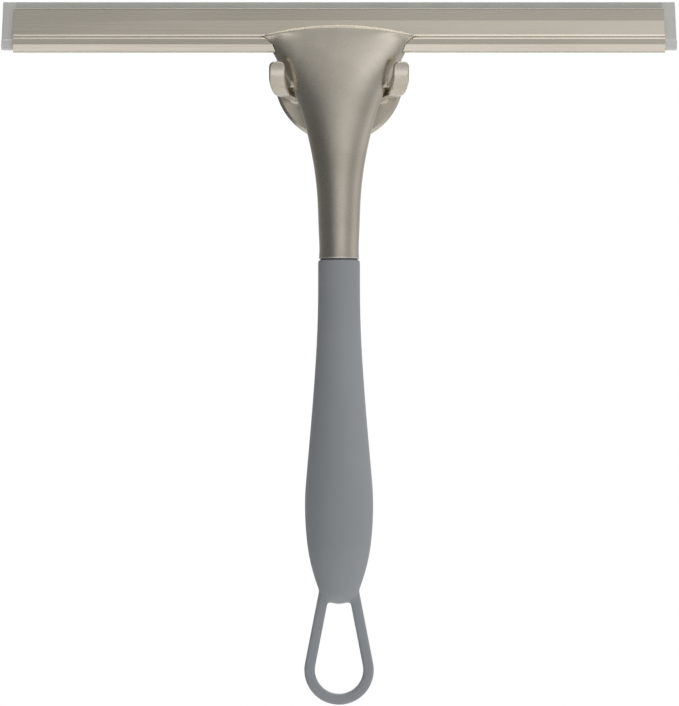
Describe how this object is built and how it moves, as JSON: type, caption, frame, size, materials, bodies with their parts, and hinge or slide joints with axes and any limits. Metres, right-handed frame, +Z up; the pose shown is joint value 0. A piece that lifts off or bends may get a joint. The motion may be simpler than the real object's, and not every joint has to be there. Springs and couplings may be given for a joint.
{
  "type": "window squeegee",
  "caption": "Window squeegee: a rubber blade in a metal channel on a flared head, with a soft grip and hanging loop, held by a two-pronged suction wall hook.",
  "frame": {"origin": "centre of the suction cup's face on the wall", "axes": "+Y into the wall, +Z up along the handle towards the blade, X along the blade"},
  "size_m": [0.305, 0.0455, 0.3187],
  "materials": {
    "suction_cup": "clear soft vinyl",
    "cup_stud": "zinc-plated thread",
    "pressure_ring": "matt moulded",
    "hook_disc": "satin nickel plate",
    "stud_washer": "zinc-plated",
    "stud_nut": "zinc-plated",
    "left_prong": "satin nickel plate",
    "right_prong": "satin nickel plate",
    "prong_screws": "zinc-plated",
    "head": "satin nickel plated casting",
    "blade_channel": "satin nickel extrusion",
    "clamp_screws": "black oxide",
    "handle_core": "matt moulded",
    "neck_stud": "plain thread",
    "soft_grip": "soft-touch blue-grey",
    "hanging_loop": "soft-touch blue-grey",
    "loop_pin": "plain",
    "rubber_blade": "translucent silicone"
  },
  "bodies": {
    "wall_hook": {"suction_cup": "suction_cup", "cup_stud": "cup_stud", "pressure_ring": "pressure_ring", "hook_disc": "hook_disc", "stud_washer": "stud_washer", "stud_nut": "stud_nut", "left_prong": "left_prong", "right_prong": "right_prong", "prong_screws": "prong_screws"},
    "squeegee": {"head": "head", "blade_channel": "blade_channel", "clamp_screws": "clamp_screws", "handle_core": "handle_core", "neck_stud": "neck_stud", "soft_grip": "soft_grip", "hanging_loop": "hanging_loop", "loop_pin": "loop_pin"},
    "blade": {"rubber_blade": "rubber_blade"}
  },
  "joints": [
    {"name": "squeegee_lift_off", "type": "slide", "parent": "wall_hook", "child": "squeegee", "axis": [0, 0, 1], "range_m": [0, 0.33]},
    {"name": "blade_slide", "type": "slide", "parent": "squeegee", "child": "blade", "axis": [1, 0, 0], "range_m": [-0.3, 0.3]}
  ]
}
